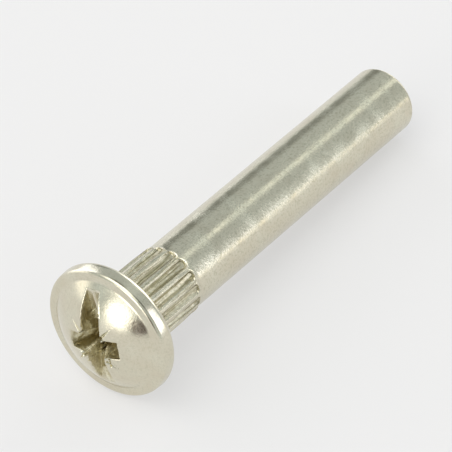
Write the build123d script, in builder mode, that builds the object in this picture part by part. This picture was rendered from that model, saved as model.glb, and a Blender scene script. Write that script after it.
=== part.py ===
from build123d import *
from math import asin, atan2, cos, hypot, radians, sin, sqrt, tan
import os

os.makedirs("parts", exist_ok=True)

# Barrel nut of one solid: a domed head with a combined slot and cross recess, a fluted
# neck and a long plain barrel with a blind threaded bore in its open end.
# Millimetres, +Z up. The nut lies on a flat surface at z = 0, touching it with its
# head's rim and with the edge of its open end. +X runs from the head to the open end.

# Head: rim with a flat face, and a dome on it
head_diameter = 15.0
rim_thickness = 2.0
rim_back_round = 0.8
rim_front_round = 0.45
rim_side_taper = 4.0
dome_diameter = 12.8
dome_height = 2.4
dome_foot_round = 0.35
head_seat_round = 0.2

# Barrel
barrel_diameter = 7.8
barrel_length = 47.5
barrel_end_round = 0.4

# Threaded bore, drawn at the thread's minor diameter: M6 with a mouth a little wider than
# the thread, inside the flat ring of the open end
end_ring_width = 0.7
bore_mouth_clearance = 0.4
thread_pitch = 1.0
bore_depth = 30.0
bore_tip_angle = 118.0

# Fluted neck under the head
neck_diameter = 8.16
neck_taper_start = 7.75
neck_length = 8.95
groove_count = 16
groove_phase = 4.0
groove_mouth_width = 1.12
groove_root_width = 0.42
groove_root_radius = 3.66
groove_full_depth_end = 6.9
groove_ramp_end = 8.15
groove_ramp_rise = 0.1
groove_end = 8.45
groove_tip_width = 0.55
groove_tip_flare = 0.05
cutter_margin = 0.25

# Drive recess: a screwdriver slot across the dome, a deeper cross at its middle and a
# notch between each two arms. Depths are measured from the dome's top.
recess_turn = -13.9
slot_depth = 2.2
slot_floor_width = 1.4
slot_rise_to_top = 3.3
slot_rise_to_bottom = 8.5
slot_draft = 15.0
cross_depth = 3.0
cross_mouth_reach = 3.45
cross_floor_reach = 1.45
cross_mouth_width = 2.15
cross_floor_width = 1.35
core_mouth_width = 4.0
core_floor_width = 1.7
arm_count = 4
notch_reach = 3.45
notch_floor_rise = 0.1
notch_wall_slope = 1.5

# Values that follow from the ones above
head_radius = head_diameter / 2
dome_radius = dome_diameter / 2
barrel_radius = barrel_diameter / 2
neck_radius = neck_diameter / 2
mouth_radius = barrel_radius - end_ring_width
thread_radius = mouth_radius - bore_mouth_clearance / 2
minor_radius = thread_radius - thread_pitch / 2
head_height = rim_thickness + dome_height
dome_sphere_radius = (dome_radius**2 + dome_height**2) / (2 * dome_height)
rim_side_slope = tan(radians(rim_side_taper))
rim_corner_radius = (
    head_radius - rim_back_round + rim_back_round * (1 / cos(radians(rim_side_taper)) + rim_side_slope)
)
rim_front_radius = rim_corner_radius - rim_thickness * rim_side_slope

# Lying pose: the floor touches the rim's back round and the open end's round
contact_run = barrel_length - barrel_end_round + rim_back_round
contact_drop = (head_radius - rim_back_round) - (barrel_radius - barrel_end_round)
contact_distance = hypot(contact_run, contact_drop)
lie_angle = atan2(contact_drop, contact_run) + asin((rim_back_round - barrel_end_round) / contact_distance)
lie_cos = cos(lie_angle)
lie_sin = sin(lie_angle)
seat_height = rim_back_round * (1 - lie_sin) + (head_radius - rim_back_round) * lie_cos
far_reach = (
    (barrel_length - barrel_end_round) * lie_cos + (barrel_radius - barrel_end_round) * lie_sin + barrel_end_round
)
near_reach = dome_sphere_radius + (head_height - dome_sphere_radius) * lie_cos
seat_x = (near_reach - far_reach) / 2

# The nut's own frame: origin on the axis at the head's seat, axis toward the open end,
# first direction toward the top line of the lying nut
nut_plane = Plane(origin=(seat_x, 0, seat_height), x_dir=(lie_sin, 0, lie_cos), z_dir=(lie_cos, 0, -lie_sin))
nut_frame = Location(nut_plane)
nut_axis = Axis(nut_plane.origin, nut_plane.z_dir)
half_section = Plane(nut_frame * Location(Plane.XZ))


def across_axis(along, turn=0.0):
    """Plane across the nut's axis at a distance from the seat, turned about the axis."""
    return Plane(nut_frame * Location((0, 0, along), (0, 0, turn)))


def across_radius(radius, turn):
    """Plane square to a radius: its first direction runs round the nut, its second along the axis."""
    return Plane(nut_frame * Location((0, 0, 0), (0, 0, turn)) * Location(Plane.YZ.offset(radius)))


def turned_about_axis(turn):
    """Location that turns a solid about the nut's axis."""
    return nut_frame * Location((0, 0, 0), (0, 0, turn)) * nut_frame.inverse()


# One groove's cutter: full depth along the neck, a slight ramp, then a steep end
groove_ramp_radius = groove_root_radius + groove_ramp_rise
groove_stations = (
    (-cutter_margin, groove_mouth_width, groove_root_width, groove_root_radius),
    (groove_full_depth_end, groove_mouth_width, groove_root_width, groove_root_radius),
    (groove_ramp_end, groove_mouth_width, groove_root_width + 2 * groove_ramp_rise, groove_ramp_radius),
    (groove_end, groove_tip_width, groove_tip_width - groove_tip_flare, (barrel_radius + neck_radius) / 2),
)
groove_top_radius = neck_radius + cutter_margin
with BuildPart() as groove_cutter:
    for along, mouth_width, root_width, root_radius in groove_stations:
        with BuildSketch(across_axis(along, groove_phase)):
            flare = (mouth_width - root_width) * (groove_top_radius - root_radius) / (neck_radius - root_radius)
            with BuildLine():
                Polyline(
                    (root_radius, -root_width / 2),
                    (groove_top_radius, -(root_width + flare) / 2),
                    (groove_top_radius, (root_width + flare) / 2),
                    (root_radius, root_width / 2),
                    close=True,
                )
            make_face()
    loft(ruled=True)

# One notch's cutter: a shallow V that meets the dome at its reach, its floor a little
# higher toward the axis
notch_top = head_height + cutter_margin
notch_tip_height = head_height - dome_sphere_radius + sqrt(dome_sphere_radius**2 - notch_reach**2)
with BuildPart() as notch_cutter:
    for radius in (core_floor_width / 2, notch_reach + cutter_margin):
        with BuildSketch(across_radius(radius, recess_turn + 180 / arm_count)):
            notch_floor = notch_tip_height + (notch_reach - radius) * notch_floor_rise
            half_width = (notch_top - notch_floor) / notch_wall_slope
            with BuildLine():
                Polyline((0, -notch_floor), (half_width, -notch_top), (-half_width, -notch_top), close=True)
            make_face()
    loft(ruled=True)

# The slot's cutter: drafted sides, and a floor that rises from its middle to both ends,
# less toward the top than toward the bottom of the lying nut
with BuildPart() as slot_cutter:
    with BuildSketch(across_axis(slot_depth - head_height, recess_turn)):
        Rectangle(head_diameter, slot_floor_width)
    extrude(amount=-slot_depth - cutter_margin, taper=-slot_draft)
    with BuildSketch(across_radius(0, recess_turn + 90)):
        slot_floor = head_height - slot_depth
        slot_top_floor = slot_floor + head_radius * tan(radians(slot_rise_to_top))
        slot_bottom_floor = slot_floor + head_radius * tan(radians(slot_rise_to_bottom))
        with BuildLine():
            Polyline(
                (0, -slot_floor),
                (head_radius, -slot_bottom_floor),
                (head_radius, -head_height - 2 * cutter_margin),
                (-head_radius, -head_height - 2 * cutter_margin),
                (-head_radius, -slot_top_floor),
                close=True,
            )
        make_face()
    extrude(amount=head_radius, both=True, mode=Mode.INTERSECT)

with BuildPart() as barrel_nut:
    # Head, neck, barrel and bore turned as one profile
    with BuildSketch(half_section) as profile:
        with BuildLine():
            dome_top = (0, -head_height)
            dome_foot = (dome_radius, -rim_thickness)
            dome_middle_angle = asin(dome_radius / dome_sphere_radius) / 2
            dome_middle = (
                dome_sphere_radius * sin(dome_middle_angle),
                -head_height + dome_sphere_radius * (1 - cos(dome_middle_angle)),
            )
            ThreePointArc(dome_top, dome_middle, dome_foot)
            Polyline(
                dome_foot,
                (rim_front_radius, -rim_thickness),
                (rim_corner_radius, 0),
                (neck_radius, 0),
                (neck_radius, neck_taper_start),
                (barrel_radius, neck_length),
                (barrel_radius, barrel_length),
                (mouth_radius, barrel_length),
                (minor_radius, barrel_length - (mouth_radius - minor_radius)),
                (minor_radius, barrel_length - bore_depth),
                (0, barrel_length - bore_depth - minor_radius / tan(radians(bore_tip_angle / 2))),
                dome_top,
            )
        make_face()
    revolve(axis=nut_axis)

    # Rounds on the turned edges
    for radius, along, round_radius in (
        (dome_radius, -rim_thickness, dome_foot_round),
        (rim_front_radius, -rim_thickness, rim_front_round),
        (rim_corner_radius, 0, rim_back_round),
        (neck_radius, 0, head_seat_round),
        (barrel_radius, barrel_length, barrel_end_round),
    ):
        point_on_edge = nut_plane.from_local_coords((0, radius, along))
        fillet(barrel_nut.edges().sort_by_distance(point_on_edge)[0], round_radius)

    # Grooves of the fluted neck
    for groove in range(groove_count):
        with Locations(turned_about_axis(groove * 360 / groove_count)):
            add(groove_cutter.part, mode=Mode.SUBTRACT)

    # Slot across the dome, running out at both ends
    add(slot_cutter.part, mode=Mode.SUBTRACT)

    # Cross with drafted arms
    for along, reach, width in (
        (-head_height, cross_mouth_reach, cross_mouth_width),
        (cross_depth - head_height, cross_floor_reach, cross_floor_width),
    ):
        with BuildSketch(across_axis(along, recess_turn)):
            Rectangle(2 * reach, width)
            Rectangle(width, 2 * reach)
    loft(ruled=True, mode=Mode.SUBTRACT)

    # Square core of the cross, its sides facing between the arms
    for along, width in ((-head_height, core_mouth_width), (cross_depth - head_height, core_floor_width)):
        with BuildSketch(across_axis(along, recess_turn + 45)):
            Rectangle(width, width)
    loft(ruled=True, mode=Mode.SUBTRACT)

    # Notches between the arms
    for notch in range(arm_count):
        with Locations(turned_about_axis(notch * 360 / arm_count)):
            add(notch_cutter.part, mode=Mode.SUBTRACT)

barrel_nut.part.label = "barrel_nut"
export_step(barrel_nut.part, "parts/barrel_nut.step")
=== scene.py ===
import bpy
from math import asin, atan2, cos, degrees, hypot, pi, radians, sin, sqrt, tan
import numpy as np
from mathutils import Matrix, Vector
from mathutils.geometry import delaunay_2d_cdt


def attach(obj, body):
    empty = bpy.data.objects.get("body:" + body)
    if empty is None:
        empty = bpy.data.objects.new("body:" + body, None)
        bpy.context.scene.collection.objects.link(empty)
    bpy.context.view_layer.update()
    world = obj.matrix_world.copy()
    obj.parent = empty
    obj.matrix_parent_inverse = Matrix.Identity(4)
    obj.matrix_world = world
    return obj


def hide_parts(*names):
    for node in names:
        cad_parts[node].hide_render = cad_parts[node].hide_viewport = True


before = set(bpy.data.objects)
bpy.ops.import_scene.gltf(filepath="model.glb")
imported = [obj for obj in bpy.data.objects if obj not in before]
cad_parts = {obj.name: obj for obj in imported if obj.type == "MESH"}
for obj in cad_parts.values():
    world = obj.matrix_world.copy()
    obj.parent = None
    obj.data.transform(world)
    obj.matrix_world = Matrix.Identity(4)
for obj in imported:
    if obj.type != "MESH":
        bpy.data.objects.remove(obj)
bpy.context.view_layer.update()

# Scene units are metres with +Z up; the sizes below are millimetres, scaled by MM.
# The nut lies on the floor at z = 0 with +X from its head to its open end. Its own frame
# has its origin on the axis at the head's seat, its third direction along the axis toward
# the open end and its first direction toward the top line of the lying nut.
MM = 0.001

# Head
HEAD_RADIUS = 7.5
RIM_THICKNESS = 2.0
RIM_BACK_ROUND = 0.8
RIM_FRONT_ROUND = 0.45
RIM_TAPER = 4.0
DOME_RADIUS = 6.4
DOME_HEIGHT = 2.4
DOME_FOOT_ROUND = 0.35
HEAD_SEAT_ROUND = 0.2
HEAD_HEIGHT = RIM_THICKNESS + DOME_HEIGHT
DOME_SPHERE = (DOME_RADIUS**2 + DOME_HEIGHT**2) / (2 * DOME_HEIGHT)

# Barrel, bore and neck
BARREL_RADIUS = 3.9
BARREL_LENGTH = 47.5
BARREL_END_ROUND = 0.4
THREAD_MAJOR_RADIUS = 3.0
THREAD_MINOR_RADIUS = 2.5
THREAD_PITCH = 1.0
THREAD_CREST_SHARE = 0.25
THREAD_ROOT_SHARE = 0.15
THREAD_RUN_OUT = 2.5
BORE_DEPTH = 30.0
BORE_TIP_HALF_ANGLE = 59.0
BORE_MOUTH_RADIUS = 3.2
NECK_RADIUS = 4.08
NECK_LENGTH = 8.95
NECK_SHOULDER = (6.6, 7.8, 8.5)
NECK_SHOULDER_RADII = (4.08, 4.02, 3.94)
GROOVE_COUNT = 16
GROOVE_PHASE = 4.0
GROOVE_WIDTH = 1.12
GROOVE_END = 8.45
GROOVE_CORNER = 0.5
GROOVE_WALL_SLOPE = 1.25
GROOVE_END_SLOPE = 4.0
GROOVE_LIP_HEIGHT = 0.1
GROOVE_LIP_WIDTH = 0.09
GROOVE_FLOOR_RADIUS = 3.66
GROOVE_RAMP_START = 6.9
GROOVE_RAMP_RADIUS = 3.78
GROOVE_EDGE_ROUND = 0.06

# Drive recess
RECESS_TURN = -13.9
SLOT_DEPTH = 2.2
SLOT_FLOOR_WIDTH = 1.4
SLOT_RISE_TO_TOP = 3.3
SLOT_RISE_TO_BOTTOM = 8.5
SLOT_DRAFT = 15.0
CROSS_DEPTH = 3.0
CROSS_MOUTH_REACH = 3.45
CROSS_FLOOR_REACH = 1.45
CROSS_MOUTH_WIDTH = 2.15
CROSS_FLOOR_WIDTH = 1.35
CORE_MOUTH_WIDTH = 4.0
CORE_FLOOR_WIDTH = 1.7
RECESS_EDGE_ROUND = 0.12

# Flakes and tears in and beside the recess: start and end in the nut's frame, half-width
# and rise, which is negative for a tear. None stands out of the dome by more than TORN_STAND.
TORN_STAND = 0.15
TORN_METAL = (
    (-0.83, 0.05, -1.84, -0.31, 0.15, 0.85),
    (2.85, -1.25, 2.45, -1.15, 0.12, 0.6),
    (-1.13, -0.54, -1.85, -0.90, 0.14, 0.45),
    (-1.63, -1.36, -2.06, -1.14, 0.15, 0.25),
    (-1.81, -0.15, -2.43, -0.57, 0.12, -0.35),
    (0.25, 1.57, -1.39, 1.82, 0.12, 0.7),
    (-0.68, 2.12, -1.68, 2.24, 0.13, -0.35),
    (-1.06, 2.56, -1.64, 2.99, 0.10, -0.1),
    (1.37, 1.18, 0.78, 1.46, 0.13, 1.1),
    (5.5, -0.53, 3.6, 0.31, 0.11, 0.09),
    (-2.05, 0.17, -3.4, 0.46, 0.14, 0.35),
)

# Painted shade and painted reflections on the recess's walls: start and end in the nut's
# frame, half-width and what the stroke adds to how hollow its middle line is, where more
# is darker painted shade and less is a lighter painted reflection
RECESS_PAINTED_SHADE_AND_REFLECTIONS = (
    (5.0, -1.65, 2.5, -0.9, 0.65, -1.6),
    (3.7, -1.95, 2.1, -1.45, 0.35, 1.2),
    (-1.67, -2.6, -1.05, -1.3, 0.36, 1.6),
    (-1.8, 0.0, -3.5, 0.48, 0.16, -1.2),
    (-1.9, -0.74, -3.7, -0.3, 0.34, -1.2),
)

# Notches between the recess's arms
NOTCH_REACH = 3.45
NOTCH_FLOOR_RISE = 0.1
NOTCH_WALL_SLOPE = 1.5

# How much faster the edge round fades where the slot's floor runs out on the dome
SLOT_RUN_OUT_FADE = 2

# Photo and camera, fitted to the photo's outlines; the clip distances are in metres
IMAGE_SIZE = 452
FOCAL_PIXELS = 3200.0
SENSOR_WIDTH = 36.0
CLIP_START = 0.01
CLIP_END = 10
SEAT_IN_CAMERA = (-10.866, 9.884, 322.439)
CAMERA_RIGHT = (0.59710, -0.80217, 0.0)
CAMERA_DOWN = (-0.55780, -0.41520, -0.71865)
CAMERA_FORWARD = (0.57648, 0.42911, -0.69537)

# Mesh of the head's front: its reach and step, the share of a step kept free beside the
# slot's lines, the rounds that find the slot's mouth, and what counts as one place when
# its outermost points are joined to the turned body
FACE_RADIUS = 6.05
FACE_STEP = 0.062
LINE_CLEARANCE = 0.35
MOUTH_ROUNDS = 6
MERGE_DISTANCE = 1e-7
EDGE_TOLERANCE = 1e-5
ANGLE_DIGITS = 6

# Rings of the turned body: points round it, then points along each edge round
RING_POINTS = 320
BORE_POINTS = 80
DOME_FOOT_POINTS = 8
RIM_FRONT_POINTS = 9
RIM_BACK_POINTS = 13
HEAD_SEAT_POINTS = 6
BARREL_END_POINTS = 10

# Rings along the neck, the barrel and the bore, and the edges drawn sharp, in degrees
FLUTE_RINGS = 8
FLUTE_END_GAP = 0.06
FLUTE_END_STEP = 0.05
FLUTE_END_OVERRUN = 0.12
BARREL_RINGS = 8
BARREL_START_GAP = 0.5
BARREL_STOP_GAP = 0.1
THREAD_STEPS = 8
PLAIN_BORE_STEPS = 5
SHARP_ANGLE = 38

# Plating: its darker and lighter places, and their roughness
PLATING_DARK = (0.665, 0.615, 0.485, 1)
PLATING_LIGHT = (0.715, 0.69, 0.56, 1)
ROUGHNESS = (0.13, 0.27)

# Hollows: a rough brown in lumps, partly their own tone and partly painted shade, and painted
# shade that darkens toward the bottom of the recess. Ranges give the lowest and highest
# result, then the noise's values that reach them. Bumps are in metres, here and below.
HOLLOW_NAME = "hollow"
HOLLOW_DARK = (0.53, 0.475, 0.31, 1)
HOLLOW_LIGHT = (0.88, 0.84, 0.66, 1)
HOLLOW_RANGE = (0.0, 1.0, 0.42, 0.66)
HOLLOW_ROUGHNESS = 0.36
RUGGED_BUMP = 1.2e-4
RECESS_SHADE_DEPTH = 0.5
# Painted shade at the recess's bottom and on its darkest walls: its colour, the depth where it starts, and
# the run over which it comes in fully
DEEP_SHADE_COLOUR = (0.34, 0.28, 0.14, 1)
DEEP_SHADE_START = 2.0
DEEP_SHADE_RUN = 0.8

# How much of the hollows' brown tone the whole neck takes, how much painted shade its
# grooves take below a depth, and a band of painted dark reflection on the open end's
# round, from and to these distances before the end
NECK_SHADE = 0.25
GROOVE_SHADE = 1.5
GROOVE_SHADE_START = 0.1
PAINTED_END_REFLECTION = (0.3, 0.06)
PAINTED_END_REFLECTION_LEVEL = 0.9

# Scratches along the fluted neck, fainter on its ridges
KNURL_NAME = "knurled"
KNURL_RIDGE_SHARE = 0.45
KNURL_MARGIN = 0.2
SCRATCH_COLOUR = (0.285, 0.26, 0.145, 1)
SCRATCH_RANGE = (0.0, 1.0, 0.5, 0.62)
SCRATCH_SQUEEZE = (0.03, 1, 1)
SCRATCH_BUMP = 4e-5

# Drawing lines, dents and pits of the plating, the pits fainter on the head
DRAWING_SQUEEZE = (0.06, 1, 1)
DRAWING_BUMP = 3e-6
DENT_BUMP = 5e-6
PIT_BUMP = 3e-5
PIT_SHARE = (0.1, 1.0)
PIT_COLOUR = (0.48, 0.455, 0.34, 1)
PIT_COLOUR_RANGE = (0.0, 0.5, 0.5, 0.66)
GRAIN_NAME = "grained"
HEAD_GRAIN = 0.55

# Noises behind the looks: scale over a metre and detail, then what they have in common
MOTTLE_NOISE = (420, 4)
DRAWING_NOISE = (2600, 3)
PIT_NOISE = (4200, 3)
DENT_NOISE = (700, 2)
SCRATCH_NOISE = (4200, 4)
LUMP_NOISE = (1900, 3)
NOISE_ROUGHNESS = 0.6
NOISE_SPAN = (0.3, 0.7)

# Paper floor: half its side in metres, its surface, and the level that shadows don't dim
FLOOR_HALF = 0.6
FLOOR_COLOUR = (0.83, 0.81, 0.815, 1)
FLOOR_ROUGHNESS = 0.9
FLOOR_SPECULAR = 0.2
FLOOR_GLOW = (0.91, 0.91, 0.91, 1)
FLOOR_GLOW_SHARE = 0.5

# Light room: grey levels by elevation, a tint, patches of (azimuth, elevation, inner and
# outer half-angle, colour), and the level that the camera sees. All angles are in degrees.
ROOM_LEVELS = ((0.0, 0.76), (18.0, 0.65), (35.0, 0.59), (52.0, 0.59), (66.0, 0.8))
ROOM_TINT = (0.93, 1.0, 1.0)
ROOM_PATCHES = (
    (160.0, 62.0, 14.0, 34.0, (2.2, 2.2, 2.1)),
    (-80.0, 60.0, 8.0, 20.0, (0.12, 0.12, 0.11)),
    (40.0, 72.0, 8.0, 18.0, (0.15, 0.15, 0.14)),
    (2.0, 8.0, 15.0, 25.0, (3.0, 3.0, 2.9)),
    (179.0, 15.0, 5.0, 22.0, (3.0, 2.9, 2.75)),
    (82.0, 12.0, 26.0, 32.0, (1.95, 1.95, 2.05)),
    (44.5, 15.5, 5.0, 15.0, (0.28, 0.30, 0.29)),
    (-63.0, 13.0, 8.0, 13.0, (2.4, 2.4, 2.6)),
    (-61.0, 30.0, 7.0, 11.0, (2.2, 2.2, 2.35)),
    (-51.0, 2.0, 3.0, 8.0, (1.35, 1.32, 1.22)),
    (-8.0, 44.0, 3.0, 8.0, (1.25, 1.3, 1.25)),
    (118.0, 3.0, 8.0, 20.0, (1.55, 1.53, 1.46)),
    (-154.0, 9.0, 9.5, 14.0, (0.05, 0.01, 0.0)),
)
BACKDROP_LEVEL = 0.84


def lying_pose():
    """Tilt of the lying nut and the place of its seat centre, from its sizes."""
    run = BARREL_LENGTH - BARREL_END_ROUND + RIM_BACK_ROUND
    drop = (HEAD_RADIUS - RIM_BACK_ROUND) - (BARREL_RADIUS - BARREL_END_ROUND)
    tilt = atan2(drop, run) + asin((RIM_BACK_ROUND - BARREL_END_ROUND) / hypot(run, drop))
    height = RIM_BACK_ROUND * (1 - sin(tilt)) + (HEAD_RADIUS - RIM_BACK_ROUND) * cos(tilt)
    near = DOME_SPHERE + (HEAD_HEIGHT - DOME_SPHERE) * cos(tilt)
    edge = BARREL_RADIUS - BARREL_END_ROUND
    far = (BARREL_LENGTH - BARREL_END_ROUND) * cos(tilt) + edge * sin(tilt) + BARREL_END_ROUND
    return tilt, Vector(((near - far) / 2, 0, height))


def smooth_min(a, b, width):
    """The lower of two heights, blended over a width where they cross."""
    share = np.clip(0.5 + 0.5 * (b - a) / width, 0, 1)
    return b * (1 - share) + a * share - width * share * (1 - share)


# Front of the head, as a height over the plane of its seat


def dome_height(radius):
    """Height of the domed front over the seat, without its recess."""
    return HEAD_HEIGHT - DOME_SPHERE + np.sqrt(DOME_SPHERE**2 - radius**2)


def cross_walls(u, w):
    """Heights of the floor, end walls and side walls of one arm pair, and the walls' slopes."""
    floor = HEAD_HEIGHT - CROSS_DEPTH
    end_slope = CROSS_DEPTH / (CROSS_MOUTH_REACH - CROSS_FLOOR_REACH)
    side_slope = CROSS_DEPTH / ((CROSS_MOUTH_WIDTH - CROSS_FLOOR_WIDTH) / 2)
    end = floor + (np.abs(u) - CROSS_FLOOR_REACH) * end_slope
    side = floor + (np.abs(w) - CROSS_FLOOR_WIDTH / 2) * side_slope
    return floor, end, side, end_slope, side_slope


def slot_rise(u):
    """Rise of the slot's floor over its middle, along the slot."""
    rise = np.where(u > 0, SLOT_RISE_TO_TOP, SLOT_RISE_TO_BOTTOM)
    return np.abs(u) * np.tan(np.radians(rise))


def strokes(table, x, y):
    """Sum of a table's strokes at points of the head's front, each fading toward its sides."""
    total = np.zeros(np.shape(x))
    for start_x, start_y, end_x, end_y, half_width, amount in table:
        run_x, run_y = end_x - start_x, end_y - start_y
        share = ((x - start_x) * run_x + (y - start_y) * run_y) / (run_x**2 + run_y**2)
        share = np.clip(share, 0, 1)
        away = np.hypot(x - start_x - share * run_x, y - start_y - share * run_y)
        total += amount * np.clip(1 - away / half_width, 0, 1)
    return total


def face_height(x, y):
    """Height of the head's front with the recess, rounded at the recess's mouth."""
    turn = radians(RECESS_TURN)
    u = x * cos(turn) + y * sin(turn)
    w = -x * sin(turn) + y * cos(turn)
    radius = np.hypot(x, y)
    dome = dome_height(radius)
    slot_floor = HEAD_HEIGHT - SLOT_DEPTH + slot_rise(u)
    slot_slope = 1 / tan(radians(SLOT_DRAFT))
    slot_side = HEAD_HEIGHT - SLOT_DEPTH + (np.abs(w) - SLOT_FLOOR_WIDTH / 2) * slot_slope
    slot = np.maximum(slot_floor, slot_side)
    outside = [np.maximum((slot_side - dome) / slot_slope, (slot_floor - dome) * SLOT_RUN_OUT_FADE)]
    walls = [slot]
    for along, across in ((u, w), (w, u)):
        floor, end, side, end_slope, side_slope = cross_walls(along, across)
        walls.append(np.maximum(floor, np.maximum(end, side)))
        outside.append(np.maximum((end - dome) / end_slope, (side - dome) / side_slope))
    diagonal = np.maximum(np.abs(u + w), np.abs(u - w)) / sqrt(2)
    core_slope = CROSS_DEPTH / ((CORE_MOUTH_WIDTH - CORE_FLOOR_WIDTH) / 2)
    core = HEAD_HEIGHT - CROSS_DEPTH + np.maximum(0, (diagonal - CORE_FLOOR_WIDTH / 2) * core_slope)
    walls.append(core)
    outside.append((core - dome) / core_slope)
    cut = np.minimum.reduce(walls)
    distance = np.minimum.reduce(outside)
    rounding = np.clip(1 - distance / RECESS_EDGE_ROUND, 0, 1) ** 2 * RECESS_EDGE_ROUND / 2
    rounded = dome - rounding
    across_notch = np.minimum(np.abs(u + w), np.abs(u - w)) / sqrt(2)
    notch_end = float(dome_height(np.array(NOTCH_REACH)))
    notch = notch_end + (NOTCH_REACH - radius) * NOTCH_FLOOR_RISE + across_notch * NOTCH_WALL_SLOPE
    torn = np.minimum(np.minimum(rounded, notch), cut) + strokes(TORN_METAL, x, y)
    return np.minimum(torn, dome + TORN_STAND)


def mouth_lines():
    """Lines that the face's mesh follows: the feet and mouths of the slot's walls."""
    lines = []
    reach = np.arange(-FACE_RADIUS, FACE_RADIUS, FACE_STEP)
    draft = tan(radians(SLOT_DRAFT))
    foot_rise = slot_rise(reach)
    for side in (-1, 1):
        foot = SLOT_FLOOR_WIDTH / 2 + foot_rise * draft
        lines.append((reach, side * foot))
        mouth = foot
        for _ in range(MOUTH_ROUNDS):
            top = np.maximum(dome_height(np.hypot(reach, mouth)) - HEAD_HEIGHT + SLOT_DEPTH, foot_rise)
            mouth = SLOT_FLOOR_WIDTH / 2 + top * draft
        lines.append((reach, side * mouth))
    return lines


def face_mesh():
    """Points and triangles of the head's front out to FACE_RADIUS, its rim on the ring's points."""
    turn = radians(RECESS_TURN)
    steps = np.arange(-FACE_RADIUS, FACE_RADIUS, FACE_STEP)
    u, w = [g.ravel() for g in np.meshgrid(steps, steps)]
    inside = np.hypot(u, w) < FACE_RADIUS - FACE_STEP
    u, w = u[inside], w[inside]
    lines = mouth_lines()
    near = np.zeros(len(u), bool)
    for line_u, line_w in lines:
        near |= np.abs(w - np.interp(u, line_u, line_w)) < FACE_STEP * LINE_CLEARANCE
    u, w = u[~near], w[~near]
    points = [Vector((a, b)) for a, b in zip(u, w)]
    edges = []
    for line_u, line_w in lines:
        start = len(points)
        kept = np.hypot(line_u, line_w) < FACE_RADIUS - FACE_STEP
        points += [Vector((a, b)) for a, b in zip(line_u[kept], line_w[kept])]
        edges += [(k, k + 1) for k in range(start, len(points) - 1)]
    start = len(points)
    for k in range(RING_POINTS):
        angle = 2 * pi * k / RING_POINTS - turn
        points.append(Vector((FACE_RADIUS * cos(angle), FACE_RADIUS * sin(angle))))
    edges += [(start + k, start + (k + 1) % RING_POINTS) for k in range(RING_POINTS)]
    flat, _, faces, _, _, _ = delaunay_2d_cdt(points, edges, [], 0, MERGE_DISTANCE)
    flat = np.array([tuple(p) for p in flat])
    x = flat[:, 0] * cos(turn) - flat[:, 1] * sin(turn)
    y = flat[:, 0] * sin(turn) + flat[:, 1] * cos(turn)
    height = face_height(x, y)
    return np.column_stack([x, y, -height]), [tuple(f) for f in faces]


# Turned body: rings of (radius, distance along the axis)


def arc(centre_radius, centre_along, size, start, stop, count):
    """Ring profile points on a round, its angles from outward toward the open end."""
    return [
        (centre_radius + size * cos(radians(a)), centre_along + size * sin(radians(a)))
        for a in np.linspace(start, stop, count)
    ]


def rim_profile():
    """From the meshed part of the dome over its foot and round the rim to the foot of the neck."""
    foot_angle = degrees(asin(DOME_RADIUS / DOME_SPHERE))
    foot_centre = DOME_RADIUS + DOME_FOOT_ROUND * tan(radians(foot_angle / 2))
    foot_start = foot_centre - DOME_FOOT_ROUND * sin(radians(foot_angle))
    skirt = [(r, -float(dome_height(r))) for r in np.arange(FACE_RADIUS + FACE_STEP, foot_start, FACE_STEP)]
    foot_along = -RIM_THICKNESS - DOME_FOOT_ROUND
    foot_round = arc(foot_centre, foot_along, DOME_FOOT_ROUND, 90 + foot_angle, 90, DOME_FOOT_POINTS)
    narrowing = (RIM_THICKNESS - RIM_FRONT_ROUND - RIM_BACK_ROUND) * tan(radians(RIM_TAPER))
    narrowing -= (RIM_BACK_ROUND - RIM_FRONT_ROUND) * (1 / cos(radians(RIM_TAPER)) - 1)
    front_centre = HEAD_RADIUS - RIM_FRONT_ROUND - narrowing
    front_along = -RIM_THICKNESS + RIM_FRONT_ROUND
    front = arc(front_centre, front_along, RIM_FRONT_ROUND, -90, -RIM_TAPER, RIM_FRONT_POINTS)
    back_centre = HEAD_RADIUS - RIM_BACK_ROUND
    back = arc(back_centre, -RIM_BACK_ROUND, RIM_BACK_ROUND, -RIM_TAPER, 90, RIM_BACK_POINTS)
    seat_centre = NECK_RADIUS + HEAD_SEAT_ROUND
    seat_round = arc(seat_centre, HEAD_SEAT_ROUND, HEAD_SEAT_ROUND, 270, 180, HEAD_SEAT_POINTS)
    return skirt + foot_round + front + back + seat_round


def neck_profile():
    """Distances of the rings along the neck: few on the straight flutes, many at their ends."""
    straight = np.linspace(HEAD_SEAT_ROUND, GROOVE_RAMP_START, FLUTE_RINGS)[1:]
    ends = np.arange(GROOVE_RAMP_START + FLUTE_END_GAP, NECK_LENGTH + FLUTE_END_OVERRUN, FLUTE_END_STEP)
    return np.concatenate([straight, ends])


def neck_radius(along):
    """Radius over the ridges, falling over a rounded shoulder to the barrel's."""
    marks = [0, *NECK_SHOULDER, NECK_LENGTH]
    return np.interp(along, marks, [NECK_RADIUS, *NECK_SHOULDER_RADII, BARREL_RADIUS])


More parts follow.
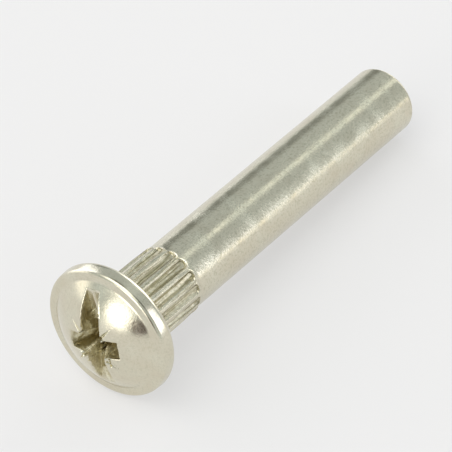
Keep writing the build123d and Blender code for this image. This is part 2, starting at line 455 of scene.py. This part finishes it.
def fluted_ring(base_radius, along, angles):
    """Radii round one ring of the neck: round-ended grooves with sloping walls."""
    spacing = 2 * pi / GROOVE_COUNT
    offset = (angles - radians(GROOVE_PHASE) + spacing / 2) % spacing - spacing / 2
    side = GROOVE_WIDTH / 2 - np.abs(NECK_RADIUS * np.sin(offset))
    end = GROOVE_END - along
    at_end = np.clip(1 - end / GROOVE_CORNER, 0, 1)
    from_corner = np.hypot(np.minimum(side - GROOVE_CORNER, 0), min(end - GROOVE_CORNER, 0))
    rounded = GROOVE_CORNER - from_corner
    near_corner = (side < GROOVE_CORNER) & (end < GROOVE_CORNER)
    inside = np.where(near_corner, rounded, np.minimum(side, end))
    floor = np.interp(along, [GROOVE_RAMP_START, GROOVE_END], [GROOVE_FLOOR_RADIUS, GROOVE_RAMP_RADIUS])
    slope = GROOVE_WALL_SLOPE + (GROOVE_END_SLOPE - GROOVE_WALL_SLOPE) * at_end
    wall = np.maximum(floor, base_radius - inside * slope)
    lip = at_end * GROOVE_LIP_HEIGHT * np.exp(-(((inside + GROOVE_LIP_WIDTH) / GROOVE_LIP_WIDTH) ** 2))
    return smooth_min(np.full(len(angles), base_radius), wall, GROOVE_EDGE_ROUND) + lip


def end_profile():
    """From the barrel's start over its rounded end to the flat ring."""
    round_centre = BARREL_RADIUS - BARREL_END_ROUND
    round_start = BARREL_LENGTH - BARREL_END_ROUND
    straight = np.linspace(NECK_LENGTH + BARREL_START_GAP, round_start - BARREL_STOP_GAP, BARREL_RINGS)
    barrel = [(BARREL_RADIUS, along) for along in straight]
    return barrel + arc(round_centre, round_start, BARREL_END_ROUND, 0, 90, BARREL_END_POINTS)


def thread_depth(turns):
    """Depth share of the thread's profile at a fraction of a turn: crest, flank, root, flank."""
    flank = (1 - THREAD_CREST_SHARE - THREAD_ROOT_SHARE) / 2
    marks = [0, THREAD_CREST_SHARE, THREAD_CREST_SHARE + flank, 1 - flank, 1]
    return np.interp(turns % 1, marks, [0, 0, 1, 1, 0])


def bore_rings():
    """Rings from the bore's mouth down its thread to its bottom, and the depth of the drilled tip."""
    angles = 2 * pi * np.arange(BORE_POINTS) / BORE_POINTS
    rings = [(np.full(BORE_POINTS, BORE_MOUTH_RADIUS), BARREL_LENGTH)]
    depth_step = THREAD_PITCH / THREAD_STEPS
    bottom = BARREL_LENGTH - BORE_DEPTH
    along = BARREL_LENGTH - depth_step
    while along > bottom:
        mouth_cone = BORE_MOUTH_RADIUS - (BARREL_LENGTH - along)
        run_out = min(max((along - bottom) / THREAD_RUN_OUT - 1, 0), 1)
        depth = (THREAD_MAJOR_RADIUS - THREAD_MINOR_RADIUS) * run_out
        radii = THREAD_MINOR_RADIUS + depth * thread_depth(along / THREAD_PITCH - angles / (2 * pi))
        rings.append((np.maximum(radii, mouth_cone), along))
        along -= depth_step if run_out > 0 else PLAIN_BORE_STEPS * depth_step
    rings.append((np.full(BORE_POINTS, THREAD_MINOR_RADIUS), bottom))
    return rings, bottom - THREAD_MINOR_RADIUS / tan(radians(BORE_TIP_HALF_ANGLE))


# Levels kept on the mesh's points for its material


def hollow_tone_and_shade_levels(local):
    """How hollow each point lies, 0 on open faces, 1 in a hollow and 2 at the recess's bottom: a level of
    the hollows' brown tone and of painted shade, with painted shade and painted reflections on the recess's
    walls, painted shade deepening at its bottom and in the neck's grooves, a painted dark reflection band
    on the open end's round, and the bore in the full tone.
    """
    radius = np.hypot(local[:, 0], local[:, 1])
    along = local[:, 2]
    open_face = -dome_height(np.minimum(radius, FACE_RADIUS))
    depth = along - open_face
    inside = np.clip(depth / RECESS_SHADE_DEPTH, 0, 1)
    # The recess's brown tone, with strokes of painted shade and painted reflection on its walls
    recess = inside * (1 + strokes(RECESS_PAINTED_SHADE_AND_REFLECTIONS, local[:, 0], local[:, 1]))
    # Painted shade deepening toward the recess's bottom
    recess = np.clip(recess + np.clip((depth - DEEP_SHADE_START) / DEEP_SHADE_RUN, 0, 1), 0, 2)
    recess = np.where(radius < FACE_RADIUS, recess, 0)
    recess = np.where(along < 0, recess, 0)
    in_neck = (along > 0) & (along < GROOVE_END)
    # The neck's brown tone, with painted shade deepening in its grooves
    groove_depth = NECK_RADIUS - GROOVE_SHADE_START - radius
    groove = np.where(in_neck, NECK_SHADE + groove_depth * GROOVE_SHADE, 0)
    # A band of painted dark reflection on the open end's round
    on_edge = (along > BARREL_LENGTH - PAINTED_END_REFLECTION[0]) & (along < BARREL_LENGTH - PAINTED_END_REFLECTION[1])
    edge = np.where(on_edge & (radius > BORE_MOUTH_RADIUS), PAINTED_END_REFLECTION_LEVEL, 0)
    # The bore takes the hollows' full brown tone
    tip = BARREL_LENGTH - BORE_DEPTH - THREAD_MAJOR_RADIUS
    bore = np.where((along > tip) & (radius < BORE_MOUTH_RADIUS), 1, 0)
    return np.maximum.reduce([recess, np.clip(groove, 0, 1), bore, edge]).astype(np.float32)


def knurl_levels(local):
    """How scratched each point is: 1 in the neck's grooves, less on its ridges, 0 elsewhere."""
    radius = np.hypot(local[:, 0], local[:, 1])
    along = local[:, 2]
    on_neck = (radius > THREAD_MAJOR_RADIUS) & (radius < NECK_RADIUS + KNURL_MARGIN)
    in_neck = (along > 0) & (along < GROOVE_END) & on_neck
    depth = (NECK_RADIUS - radius) / (NECK_RADIUS - GROOVE_FLOOR_RADIUS)
    return np.where(in_neck, np.clip(KNURL_RIDGE_SHARE + depth, 0, 1), 0).astype(np.float32)


def grain_levels(local):
    """How grainy the plating is at each point: 1 on neck and barrel, less on the smoother head."""
    return np.where(local[:, 2] > 0, 1, HEAD_GRAIN).astype(np.float32)


# The whole nut


def build_nut(tilt, seat):
    """The whole nut as one closed mesh in the scene's frame."""
    vertices, faces = face_mesh()
    rim_angles = np.arctan2(vertices[:, 1], vertices[:, 0]) % (2 * pi)
    on_edge = np.abs(np.hypot(vertices[:, 0], vertices[:, 1]) - FACE_RADIUS) < EDGE_TOLERANCE
    order = np.where(on_edge)[0]
    turns = np.round(rim_angles[order], ANGLE_DIGITS) % round(2 * pi, ANGLE_DIGITS)
    ring = list(order[np.argsort(turns)])
    points = list(vertices)
    angles = 2 * pi * np.arange(RING_POINTS) / RING_POINTS

    def add_ring(radii, along, ring_angles):
        """Points of one ring, given back as their numbers."""
        start = len(points)
        for r, q in zip(radii, ring_angles):
            points.append(np.array([r * cos(q), r * sin(q), along]))
        return list(range(start, start + len(ring_angles)))

    def bridge(a, b):
        """Faces between two rings; the first may have a whole multiple of the second's points."""
        step = len(a) // len(b)
        for k in range(len(a)):
            j = k // step
            following = (k + 1) % len(a)
            if step == 1:
                faces.append((a[k], b[k], b[following], a[following]))
            else:
                faces.append((a[k], b[j], a[following]))
                if k % step == step - 1:
                    faces.append((a[following], b[j], b[(j + 1) % len(b)]))

    rings = []
    for radius, along in rim_profile():
        radii = np.full(RING_POINTS, radius)
        if along > 0:
            radii = fluted_ring(radius, along, angles)
        rings.append((radii, along))
    for along in neck_profile():
        rings.append((fluted_ring(float(neck_radius(along)), along, angles), along))
    for radius, along in end_profile():
        rings.append((np.full(RING_POINTS, radius), along))
    for radii, along in rings:
        fresh = add_ring(radii, along, angles)
        bridge(ring, fresh)
        ring = fresh
    inner_rings, tip = bore_rings()
    inner_angles = 2 * pi * np.arange(BORE_POINTS) / BORE_POINTS
    for radii, along in inner_rings:
        fresh = add_ring(radii, along, inner_angles)
        bridge(ring, fresh)
        ring = fresh
    points.append(np.array([0, 0, tip]))
    last = len(points) - 1
    faces.extend((ring[k], last, ring[(k + 1) % len(ring)]) for k in range(len(ring)))

    local = np.array(points)
    top = np.array([sin(tilt), 0, cos(tilt)])
    along_axis = np.array([cos(tilt), 0, -sin(tilt)])
    across = np.cross(along_axis, top)
    world = np.array(seat) + local @ np.array([top, across, along_axis])
    mesh = bpy.data.meshes.new("nut")
    mesh.from_pydata([tuple(p * MM) for p in world], [], [tuple(int(i) for i in f) for f in faces])
    mesh.validate()
    for name, levels in (
        (HOLLOW_NAME, hollow_tone_and_shade_levels(local)),
        (KNURL_NAME, knurl_levels(local)),
        (GRAIN_NAME, grain_levels(local)),
    ):
        attribute = mesh.attributes.new(name, "FLOAT", "POINT")
        attribute.data.foreach_set("value", levels)
    nut = bpy.data.objects.new("nut", mesh)
    bpy.context.scene.collection.objects.link(nut)
    mesh.shade_smooth()
    mesh.set_sharp_from_angle(angle=radians(SHARP_ANGLE))
    return nut


# Camera


def make_camera(seat):
    """Camera from the fit: the seat centre's place in camera space and the camera's axes."""
    right, down, forward = Vector(CAMERA_RIGHT), Vector(CAMERA_DOWN), Vector(CAMERA_FORWARD)
    x, y, z = SEAT_IN_CAMERA
    place = (seat - (right * x + down * y + forward * z)) * MM
    turn = Matrix((right, -down, -forward)).transposed()
    data = bpy.data.cameras.new("camera")
    data.sensor_width = SENSOR_WIDTH
    data.lens = FOCAL_PIXELS / IMAGE_SIZE * SENSOR_WIDTH
    data.clip_start = CLIP_START
    data.clip_end = CLIP_END
    camera = bpy.data.objects.new("camera", data)
    camera.matrix_world = Matrix.Translation(place) @ turn.to_4x4()
    bpy.context.scene.collection.objects.link(camera)
    bpy.context.scene.camera = camera


# Materials


def node(tree, kind, **inputs):
    """A shader node with some of its inputs set."""
    made = tree.nodes.new(kind)
    for name, value in inputs.items():
        made.inputs[name.replace("_", " ")].default_value = value
    return made


def link(tree, source, output, target, name):
    """A wire between two nodes."""
    tree.links.new(source.outputs[output], target.inputs[name])


def noise(tree, source, scale, detail, squeeze=(1, 1, 1)):
    """Noise over the nut's own directions, squeezed so that its grain can run along the axis."""
    mapping = node(tree, "ShaderNodeMapping", Scale=squeeze)
    made = node(tree, "ShaderNodeTexNoise", Scale=scale, Detail=detail, Roughness=NOISE_ROUGHNESS)
    tree.links.new(source, mapping.inputs["Vector"])
    link(tree, mapping, "Vector", made, "Vector")
    return made


def spread(tree, source, output, low, high, from_low=NOISE_SPAN[0], from_high=NOISE_SPAN[1]):
    """A grain's value stretched to a range."""
    made = node(tree, "ShaderNodeMapRange")
    made.inputs["From Min"].default_value = from_low
    made.inputs["From Max"].default_value = from_high
    made.inputs["To Min"].default_value = low
    made.inputs["To Max"].default_value = high
    link(tree, source, output, made, "Value")
    return made


def product(tree, first, first_output, second, second_output):
    """Two values multiplied, held between 0 and 1."""
    made = node(tree, "ShaderNodeMath")
    made.operation = "MULTIPLY"
    made.use_clamp = True
    tree.links.new(first.outputs[first_output], made.inputs[0])
    tree.links.new(second.outputs[second_output], made.inputs[1])
    return made


def blend(tree, first, second, factor):
    """Two colours, each a value or a socket, mixed by a socket's factor."""
    made = tree.nodes.new("ShaderNodeMix")
    made.data_type = "RGBA"
    for name, colour in (("A", first), ("B", second)):
        if isinstance(colour, tuple):
            made.inputs[name].default_value = colour
        else:
            tree.links.new(colour, made.inputs[name])
    tree.links.new(factor, made.inputs["Factor"])
    return made.outputs["Result"]


def bump(tree, source, output, depth, before=None):
    """A bump of a given depth in metres on top of another."""
    made = node(tree, "ShaderNodeBump", Strength=1.0, Distance=depth)
    link(tree, source, output, made, "Height")
    if before is not None:
        link(tree, before, "Normal", made, "Normal")
    return made


def nickel(tilt):
    """Nickel plating: drawing lines along the barrel, mottling, fine pits, and brown hollows that carry
    painted shade and painted reflections, darkest at the recess's bottom.
    """
    material = bpy.data.materials.new("nickel_plated_steel")
    material.use_nodes = True
    tree = material.node_tree
    shader = tree.nodes["Principled BSDF"]
    shader.inputs["Metallic"].default_value = 1.0
    place = node(tree, "ShaderNodeTexCoord")
    turned = node(tree, "ShaderNodeMapping", Rotation=(0, -tilt, 0))
    link(tree, place, "Object", turned, "Vector")
    along = turned.outputs["Vector"]
    mottle = noise(tree, along, *MOTTLE_NOISE)
    drawn = noise(tree, along, *DRAWING_NOISE, DRAWING_SQUEEZE)
    pits = noise(tree, along, *PIT_NOISE)
    dents = noise(tree, along, *DENT_NOISE)
    scratches = noise(tree, along, *SCRATCH_NOISE, SCRATCH_SQUEEZE)
    lumps = noise(tree, along, *LUMP_NOISE)
    hollow = node(tree, "ShaderNodeAttribute")
    hollow.attribute_name = HOLLOW_NAME
    knurled = node(tree, "ShaderNodeAttribute")
    knurled.attribute_name = KNURL_NAME
    grained = node(tree, "ShaderNodeAttribute")
    grained.attribute_name = GRAIN_NAME
    scratched = product(tree, spread(tree, scratches, "Fac", *SCRATCH_RANGE), "Result", knurled, "Fac")
    grain = product(tree, spread(tree, mottle, "Fac", *PIT_SHARE), "Result", pits, "Fac")
    grain = product(tree, grain, "Value", grained, "Fac")
    specks = product(tree, spread(tree, pits, "Fac", *PIT_COLOUR_RANGE), "Result", grained, "Fac")
    rugged = product(tree, lumps, "Fac", hollow, "Fac")

    mottling = spread(tree, mottle, "Fac", 0, 1).outputs["Result"]
    clean = blend(tree, PLATING_DARK, PLATING_LIGHT, mottling)
    # Brown of the hollows, which also carries the painted shade in the recess, the neck's grooves and the
    # band on the open end
    lumpiness = spread(tree, lumps, "Fac", *HOLLOW_RANGE).outputs["Result"]
    tint = blend(tree, HOLLOW_DARK, HOLLOW_LIGHT, lumpiness)
    # Painted shade toward the recess's bottom, where the hollow level passes 1
    bottom = spread(tree, hollow, "Fac", 0, 1, 1, 2).outputs["Result"]
    hollow_tone_and_shade = blend(tree, tint, DEEP_SHADE_COLOUR, bottom)
    colour = blend(tree, clean, hollow_tone_and_shade, hollow.outputs["Fac"])
    colour = blend(tree, colour, PIT_COLOUR, specks.outputs["Value"])
    colour = blend(tree, colour, SCRATCH_COLOUR, scratched.outputs["Value"])
    tree.links.new(colour, shader.inputs["Base Color"])

    smooth = spread(tree, mottle, "Fac", ROUGHNESS[0], ROUGHNESS[1])
    rough = node(tree, "ShaderNodeMapRange")
    rough.inputs["To Max"].default_value = HOLLOW_ROUGHNESS
    link(tree, hollow, "Fac", rough, "Value")
    tree.links.new(smooth.outputs["Result"], rough.inputs["To Min"])
    link(tree, rough, "Result", shader, "Roughness")

    relief = bump(tree, dents, "Fac", DENT_BUMP)
    relief = bump(tree, drawn, "Fac", DRAWING_BUMP, relief)
    relief = bump(tree, grain, "Value", PIT_BUMP, relief)
    relief = bump(tree, scratched, "Value", SCRATCH_BUMP, relief)
    relief = bump(tree, rugged, "Value", RUGGED_BUMP, relief)
    link(tree, relief, "Normal", shader, "Normal")
    return material


def floor_material():
    """White paper, with a share of its level that shadows don't dim, for camera and reflections only."""
    material = bpy.data.materials.new("floor")
    material.use_nodes = True
    tree = material.node_tree
    shader = tree.nodes["Principled BSDF"]
    shader.inputs["Base Color"].default_value = FLOOR_COLOUR
    shader.inputs["Roughness"].default_value = FLOOR_ROUGHNESS
    shader.inputs["Specular IOR Level"].default_value = FLOOR_SPECULAR
    glow = node(tree, "ShaderNodeEmission", Color=FLOOR_GLOW)
    ray = tree.nodes.new("ShaderNodeLightPath")
    seen = tree.nodes.new("ShaderNodeMath")
    seen.operation = "MAXIMUM"
    tree.links.new(ray.outputs["Is Camera Ray"], seen.inputs[0])
    tree.links.new(ray.outputs["Is Glossy Ray"], seen.inputs[1])
    share = tree.nodes.new("ShaderNodeMath")
    share.operation = "MULTIPLY"
    share.inputs[1].default_value = FLOOR_GLOW_SHARE
    tree.links.new(seen.outputs["Value"], share.inputs[0])
    mix = tree.nodes.new("ShaderNodeMixShader")
    tree.links.new(share.outputs["Value"], mix.inputs["Fac"])
    tree.links.new(shader.outputs["BSDF"], mix.inputs[1])
    tree.links.new(glow.outputs["Emission"], mix.inputs[2])
    tree.links.new(mix.outputs["Shader"], tree.nodes["Material Output"].inputs["Surface"])
    return material


# Floor and light


def make_floor():
    """A flat sheet under the nut."""
    mesh = bpy.data.meshes.new("floor")
    s = FLOOR_HALF
    mesh.from_pydata([(-s, -s, 0), (s, -s, 0), (s, s, 0), (-s, s, 0)], [], [(0, 1, 2, 3)])
    floor = bpy.data.objects.new("floor", mesh)
    floor.data.materials.append(floor_material())
    bpy.context.scene.collection.objects.link(floor)


def direction(azimuth, elevation):
    """Unit vector of an azimuth and an elevation in degrees."""
    a, e = radians(azimuth), radians(elevation)
    return cos(a) * cos(e), sin(a) * cos(e), sin(e)


def make_world():
    """A pale room: grey walls and ceiling, with soft bright and dark patches for panels and windows."""
    world = bpy.data.worlds.new("studio")
    world.use_nodes = True
    bpy.context.scene.world = world
    tree = world.node_tree
    look = tree.nodes.new("ShaderNodeTexCoord")
    split = tree.nodes.new("ShaderNodeSeparateXYZ")
    tree.links.new(look.outputs["Generated"], split.inputs["Vector"])
    ramp = tree.nodes.new("ShaderNodeValToRGB")
    ramp.color_ramp.elements.remove(ramp.color_ramp.elements[1])
    for k, (elevation, level) in enumerate(ROOM_LEVELS):
        spot = sin(radians(elevation))
        element = ramp.color_ramp.elements[0] if k == 0 else ramp.color_ramp.elements.new(spot)
        element.position = spot
        element.color = (*(level * tint for tint in ROOM_TINT), 1)
    tree.links.new(split.outputs["Z"], ramp.inputs["Fac"])
    room = ramp.outputs["Color"]
    for azimuth, elevation, inner, outer, colour in ROOM_PATCHES:
        dot = tree.nodes.new("ShaderNodeVectorMath")
        dot.operation = "DOT_PRODUCT"
        tree.links.new(look.outputs["Generated"], dot.inputs[0])
        dot.inputs[1].default_value = direction(azimuth, elevation)
        mask = tree.nodes.new("ShaderNodeMapRange")
        mask.interpolation_type = "SMOOTHSTEP"
        mask.inputs["From Min"].default_value = cos(radians(outer))
        mask.inputs["From Max"].default_value = cos(radians(inner))
        tree.links.new(dot.outputs["Value"], mask.inputs["Value"])
        room = blend(tree, room, (*colour, 1), mask.outputs["Result"])
    ray = tree.nodes.new("ShaderNodeLightPath")
    backdrop = (BACKDROP_LEVEL, BACKDROP_LEVEL, BACKDROP_LEVEL, 1)
    background = tree.nodes["Background"]
    tree.links.new(blend(tree, room, backdrop, ray.outputs["Is Camera Ray"]), background.inputs["Color"])
    background.inputs["Strength"].default_value = 1.0


tilt, seat = lying_pose()
make_camera(seat)
nut = build_nut(tilt, seat)
nut.data.materials.append(nickel(tilt))
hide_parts("barrel_nut")
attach(nut, "root")
make_floor()
make_world()
bpy.context.scene.view_settings.view_transform = "Standard"
